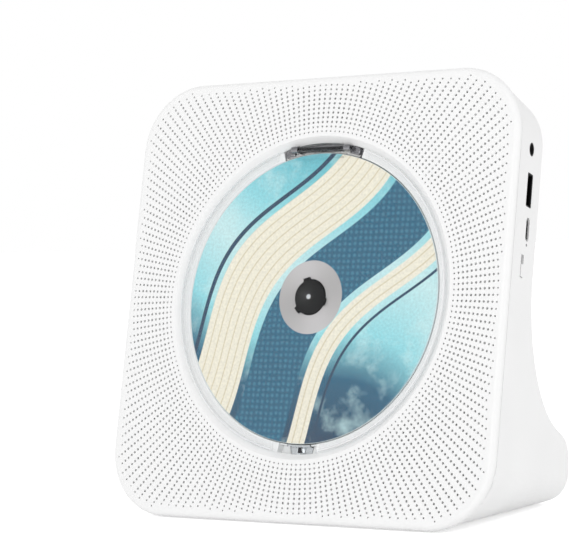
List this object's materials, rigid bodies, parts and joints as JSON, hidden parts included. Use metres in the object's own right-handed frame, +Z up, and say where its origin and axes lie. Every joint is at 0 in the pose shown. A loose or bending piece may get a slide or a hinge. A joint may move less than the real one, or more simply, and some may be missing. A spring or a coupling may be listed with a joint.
{
  "type": "desktop disc player",
  "caption": "Square disc player on a swept foot, with a perforated face, a round clear-covered disc bay, a spindle, a laser sled, side sockets and top buttons.",
  "frame": {"origin": "on the surface it stands on, below the middle of its width and depth", "axes": "+X to the player's right as seen from the front, +Y to the rear, +Z up"},
  "size_m": [0.184, 0.099, 0.1802],
  "materials": {
    "shell_plastic": "satin, fine spark texture",
    "smoked_plastic": "polished, smoked",
    "clear_plastic": "polished, clear",
    "black_plastic": "satin",
    "white_gear": "satin",
    "disc_face": "screen-printed, lacquered",
    "steel": "ground",
    "plated_steel": "nickel plated",
    "chromed_steel": "mirror",
    "magnet": "plated",
    "lens_glass": "coated",
    "rubber": "matt",
    "board": "solder mask",
    "cone_paper": "pressed paper",
    "cell_sleeve": "shrink sleeve"
  },
  "bodies": {
    "case": {"aux_jack": "black_plastic", "battery_cells": "cell_sleeve", "bay_screws": "steel", "board_chips": "black_plastic", "board_screws": "steel", "button_board": "board", "case_screws": "steel", "catch_magnet": "magnet", "charge_light": "clear_plastic", "cover_pin": "steel", "damper_screws": "steel", "dampers": "rubber", "disc_bay": "shell_plastic", "display_module": "black_plastic", "foot_pad_1": "rubber", "foot_pad_2": "rubber", "foot_pad_3": "rubber", "foot_pad_4": "rubber", "front_shell": "shell_plastic", "gear_pin": "steel", "guide_rods": "steel", "hinge_bracket": "smoked_plastic", "main_board": "board", "mechanism_deck": "black_plastic", "rear_housing": "shell_plastic", "sled_motor": "plated_steel", "speaker_cone_left": "cone_paper", "speaker_cone_right": "cone_paper", "speaker_frame_left": "plated_steel", "speaker_frame_right": "plated_steel", "speaker_magnet_left": "magnet", "speaker_magnet_right": "magnet", "spindle_motor": "plated_steel", "strike_plate": "chromed_steel", "switch_body": "plated_steel", "tact_switches": "black_plastic", "usb_a_shell": "plated_steel", "usb_a_tongue": "white_gear", "usb_c_shell": "plated_steel", "usb_c_tongue": "black_plastic"},
    "clear_cover": {"clear_cover": "clear_plastic"},
    "spindle": {"disc": "disc_face", "hub": "black_plastic", "hub_claws": "black_plastic", "turntable": "black_plastic", "spindle_shaft": "steel"},
    "sled": {"pickup_sled": "black_plastic", "sled_rack": "white_gear"},
    "lens_carrier": {"lens_holder": "black_plastic", "lens": "lens_glass"},
    "sled_gear": {"sled_gear": "white_gear"},
    "motor_pinion": {"motor_pinion": "white_gear"},
    "power_switch": {"switch_knob": "black_plastic"},
    "button_1": {"button_1": "shell_plastic"},
    "button_2": {"button_2": "shell_plastic"},
    "button_3": {"button_3": "shell_plastic"},
    "button_4": {"button_4": "shell_plastic"},
    "button_5": {"button_5": "shell_plastic"}
  },
  "joints": [
    {"name": "cover_hinge", "type": "hinge", "parent": "case", "child": "clear_cover", "pos_m": [0, -0.01555, 0.15077], "axis": [-1, 0, 0], "range_deg": [0, 95]},
    {"name": "spindle_spin", "type": "hinge", "parent": "case", "child": "spindle", "pos_m": [0, -0.02751, 0.09033], "axis": [0, -0.9763, 0.2164], "continuous": true},
    {"name": "sled_slide", "type": "slide", "parent": "case", "child": "sled", "axis": [-1, 0, 0], "range_m": [0, 0.034]},
    {"name": "lens_focus", "type": "slide", "parent": "sled", "child": "lens_carrier", "axis": [0, -0.9763, 0.2164], "range_m": [-0.0004, 0.0004], "stiffness_N_per_m": 30},
    {"name": "sled_gear_spin", "type": "hinge", "parent": "case", "child": "sled_gear", "pos_m": [-0.03, -0.00595, 0.1086], "axis": [0, -0.9763, 0.2164], "continuous": true},
    {"name": "motor_pinion_spin", "type": "hinge", "parent": "case", "child": "motor_pinion", "pos_m": [-0.01779, -0.0028, 0.12281], "axis": [0, -0.9763, 0.2164], "continuous": true},
    {"name": "power_switch_slide", "type": "slide", "parent": "case", "child": "power_switch", "axis": [0, 0.2164, 0.9763], "range_m": [0, 0.0036]},
    {"name": "button_1_press", "type": "slide", "parent": "case", "child": "button_1", "axis": [0, -0.3746, -0.9272], "range_m": [0, 0.0008], "stiffness_N_per_m": 800, "springref_m": -0.0002},
    {"name": "button_2_press", "type": "slide", "parent": "case", "child": "button_2", "axis": [0, -0.3746, -0.9272], "range_m": [0, 0.0008], "stiffness_N_per_m": 800, "springref_m": -0.0002},
    {"name": "button_3_press", "type": "slide", "parent": "case", "child": "button_3", "axis": [0, -0.3746, -0.9272], "range_m": [0, 0.0008], "stiffness_N_per_m": 800, "springref_m": -0.0002},
    {"name": "button_4_press", "type": "slide", "parent": "case", "child": "button_4", "axis": [0, -0.3746, -0.9272], "range_m": [0, 0.0008], "stiffness_N_per_m": 800, "springref_m": -0.0002},
    {"name": "button_5_press", "type": "slide", "parent": "case", "child": "button_5", "axis": [0, -0.3746, -0.9272], "range_m": [0, 0.0008], "stiffness_N_per_m": 800, "springref_m": -0.0002}
  ],
  "couplings": [
    {"joint": "sled_gear_spin", "follows": "sled_slide", "rad_per_m": -166.67},
    {"joint": "motor_pinion_spin", "follows": "sled_slide", "rad_per_m": 466.67}
  ]
}
